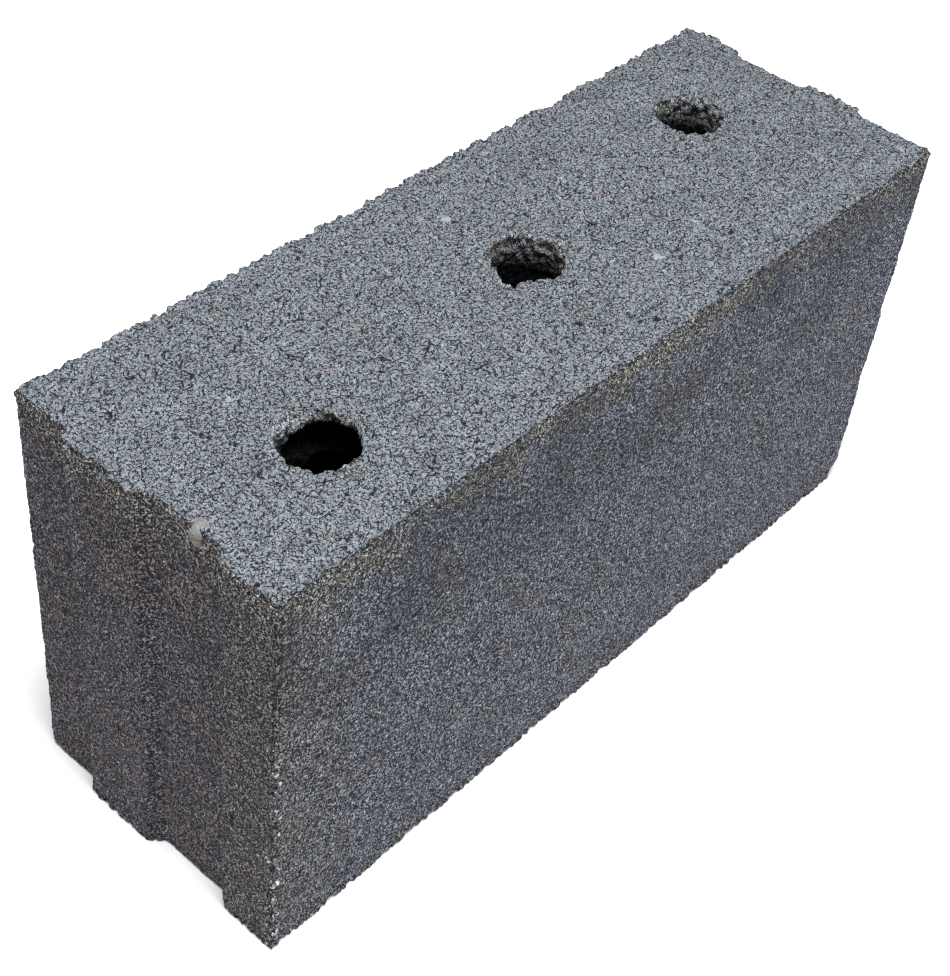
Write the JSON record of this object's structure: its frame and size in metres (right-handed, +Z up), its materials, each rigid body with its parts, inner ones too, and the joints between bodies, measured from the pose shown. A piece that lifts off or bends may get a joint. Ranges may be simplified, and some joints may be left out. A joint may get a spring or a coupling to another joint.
{
  "type": "concrete wall block",
  "caption": "Solid rectangular concrete wall block with round holes through its height and a tongue and a groove on each end.",
  "frame": {"origin": "centre of the bottom bed face, on the floor", "axes": "+X along the block's length, +Y across its thickness towards the back face, +Z up"},
  "size_m": [0.496, 0.17, 0.24],
  "materials": {
    "concrete": "rough open-textured dry-cast concrete, grey aggregate grains 2 to 5 mm with dark pores between them"
  },
  "bodies": {
    "root": {"block": "concrete"}
  },
  "joints": []
}
